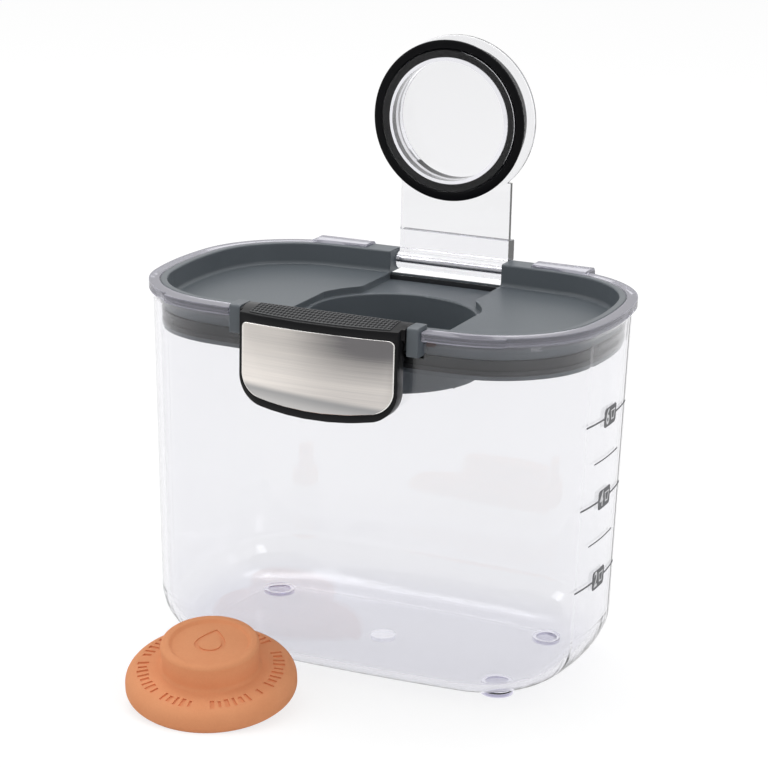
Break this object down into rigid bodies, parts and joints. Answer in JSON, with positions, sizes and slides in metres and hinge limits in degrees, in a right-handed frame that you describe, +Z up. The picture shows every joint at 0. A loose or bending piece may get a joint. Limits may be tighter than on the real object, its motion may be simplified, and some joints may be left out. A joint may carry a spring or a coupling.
{
  "type": "brown sugar storage container",
  "caption": "Clear oblong kitchen keeper with a grey hinged tray lid, a bowed front clasp, a flip cap over a vented pocket, and a terracotta moisture disc leaning beside it.",
  "frame": {"origin": "middle of the container's base, on the plane that its feet stand on", "axes": "+Z up; +X along the container towards the end with the measuring marks; -Y towards the clasp, +Y towards both hinges"},
  "size_m": [0.1788, 0.1767, 0.225],
  "materials": {
    "clear_plastic": "gloss",
    "grey_plastic": "satin",
    "black_plastic": "satin",
    "black_rubber": "satin",
    "grey_rubber": "satin",
    "brushed_steel": "satin",
    "pin_steel": "polished",
    "print_grey": "matte",
    "terracotta": "matte"
  },
  "bodies": {
    "container": {"bin": "clear_plastic", "lid_hinge_pins": "pin_steel", "measuring_marks": "print_grey"},
    "lid": {"lid": "grey_plastic", "lid_seal": "grey_rubber", "cap_hinge_pin": "pin_steel", "clasp_hinge_pin": "pin_steel"},
    "clasp": {"clasp_lever": "black_plastic", "clasp_plate": "brushed_steel"},
    "cap": {"flip_cap": "clear_plastic", "cap_sealing_ring": "black_rubber"},
    "disc": {"terracotta_disc": "terracotta"}
  },
  "joints": [
    {"name": "lid_hinge", "type": "hinge", "parent": "container", "child": "lid", "pos_m": [0, 0.0596, 0.1386], "axis": [-1, 0, 0], "range_deg": [0, 95]},
    {"name": "clasp_hinge", "type": "hinge", "parent": "lid", "child": "clasp", "pos_m": [0, -0.0546, 0.1374], "axis": [-1, 0, 0], "range_deg": [0, 90]},
    {"name": "cap_hinge", "type": "hinge", "parent": "lid", "child": "cap", "pos_m": [0, 0.0584, 0.1354], "axis": [1, 0, 0], "range_deg": [0, 90]},
    {"name": "disc_lift", "type": "slide", "parent": "container", "child": "disc", "axis": [0, -0.6, 0.8], "range_m": [0, 0.08]}
  ]
}
